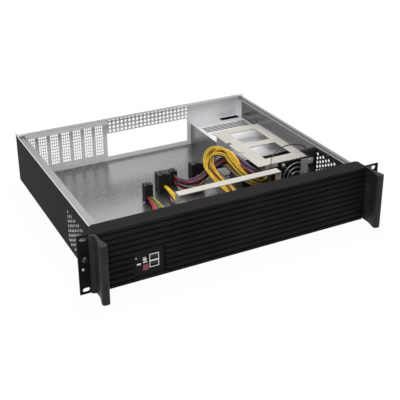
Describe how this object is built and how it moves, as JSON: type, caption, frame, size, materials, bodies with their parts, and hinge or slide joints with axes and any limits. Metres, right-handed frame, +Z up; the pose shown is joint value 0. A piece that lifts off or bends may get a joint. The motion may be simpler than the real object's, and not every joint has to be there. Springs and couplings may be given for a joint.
{
  "type": "rackmount server case",
  "caption": "Two-unit rackmount server case, open on top, with grooved front panel, handles, vented slot covers, drive shelf, slim power supply and fan.",
  "frame": {"origin": "middle of the footprint on the underside", "axes": "+X to the right seen from the front, +Y to the rear, +Z up"},
  "size_m": [0.4826, 0.42, 0.088],
  "materials": {
    "galvanised": "zinc-plated sheet steel",
    "black_paint": "matt black powder coat",
    "black_anodised": "black, satin",
    "pale_plated": "pale plated sheet",
    "bright_screw": "bright zinc",
    "dark_screw": "black zinc",
    "black_plastic": "moulded",
    "cable": "insulated wires",
    "board": "circuit board",
    "pale_button": "moulded",
    "red_lens": "dark red lens",
    "clear_lens": "milky lens"
  },
  "bodies": {
    "case": {"alarm_lens": "red_lens", "button_switches": "black_plastic", "chassis_tray": "black_paint", "control_board": "board", "control_insert": "black_plastic", "drive_lens": "clear_lens", "drive_shelf": "pale_plated", "ear_pins": "bright_screw", "ear_screws": "dark_screw", "ear_studs": "dark_screw", "fan_bracket": "galvanised", "fan_frame": "black_plastic", "fan_guard": "galvanised", "fan_lead": "cable", "fan_screws": "bright_screw", "front_brace": "pale_plated", "front_frame": "galvanised", "front_panel": "black_anodised", "handle_left": "black_anodised", "handle_right": "black_anodised", "handle_screws": "dark_screw", "harness_atx": "cable", "harness_cpu": "cable", "harness_drive": "cable", "harness_link": "cable", "harness_main": "cable", "mains_inlet": "black_plastic", "plug_cpu": "black_plastic", "plug_drive": "black_plastic", "plug_fan": "black_plastic", "plug_main": "black_plastic", "plug_small": "black_plastic", "port_stack": "bright_screw", "power_lens": "clear_lens", "rack_ear_left": "black_paint", "rack_ear_right": "black_paint", "rear_panel": "galvanised", "shelf_leg_left": "galvanised", "shelf_leg_right": "galvanised", "slot_cover_1": "galvanised", "slot_cover_2": "galvanised", "slot_cover_3": "galvanised", "slot_cover_4": "galvanised", "slot_cover_5": "galvanised", "slot_cover_6": "galvanised", "slot_cover_7": "galvanised", "slot_rail": "galvanised", "slot_screws": "bright_screw", "supply_board": "board", "supply_case": "galvanised", "supply_cover": "galvanised", "supply_fan_frame": "black_plastic", "supply_screws": "bright_screw", "supply_sink": "galvanised"},
    "power_button": {"power_button": "pale_button"},
    "reset_button": {"reset_button": "pale_button"},
    "fan_rotor": {"fan_rotor": "black_plastic"},
    "supply_rotor": {"supply_fan_rotor": "black_plastic"}
  },
  "joints": [
    {"name": "power_press", "type": "slide", "parent": "case", "child": "power_button", "axis": [0, 1, 0], "range_m": [0, 0.0015], "stiffness_N_per_m": 400, "springref_m": -0.001},
    {"name": "reset_press", "type": "slide", "parent": "case", "child": "reset_button", "axis": [0, 1, 0], "range_m": [0, 0.0015], "stiffness_N_per_m": 400, "springref_m": -0.001},
    {"name": "fan_spin", "type": "hinge", "parent": "case", "child": "fan_rotor", "pos_m": [0.172, -0.034, 0.0312], "axis": [0, 1, 0], "continuous": true},
    {"name": "supply_fan_spin", "type": "hinge", "parent": "case", "child": "supply_rotor", "pos_m": [0.1392, 0.196, 0.0212], "axis": [0, 1, 0], "continuous": true}
  ]
}
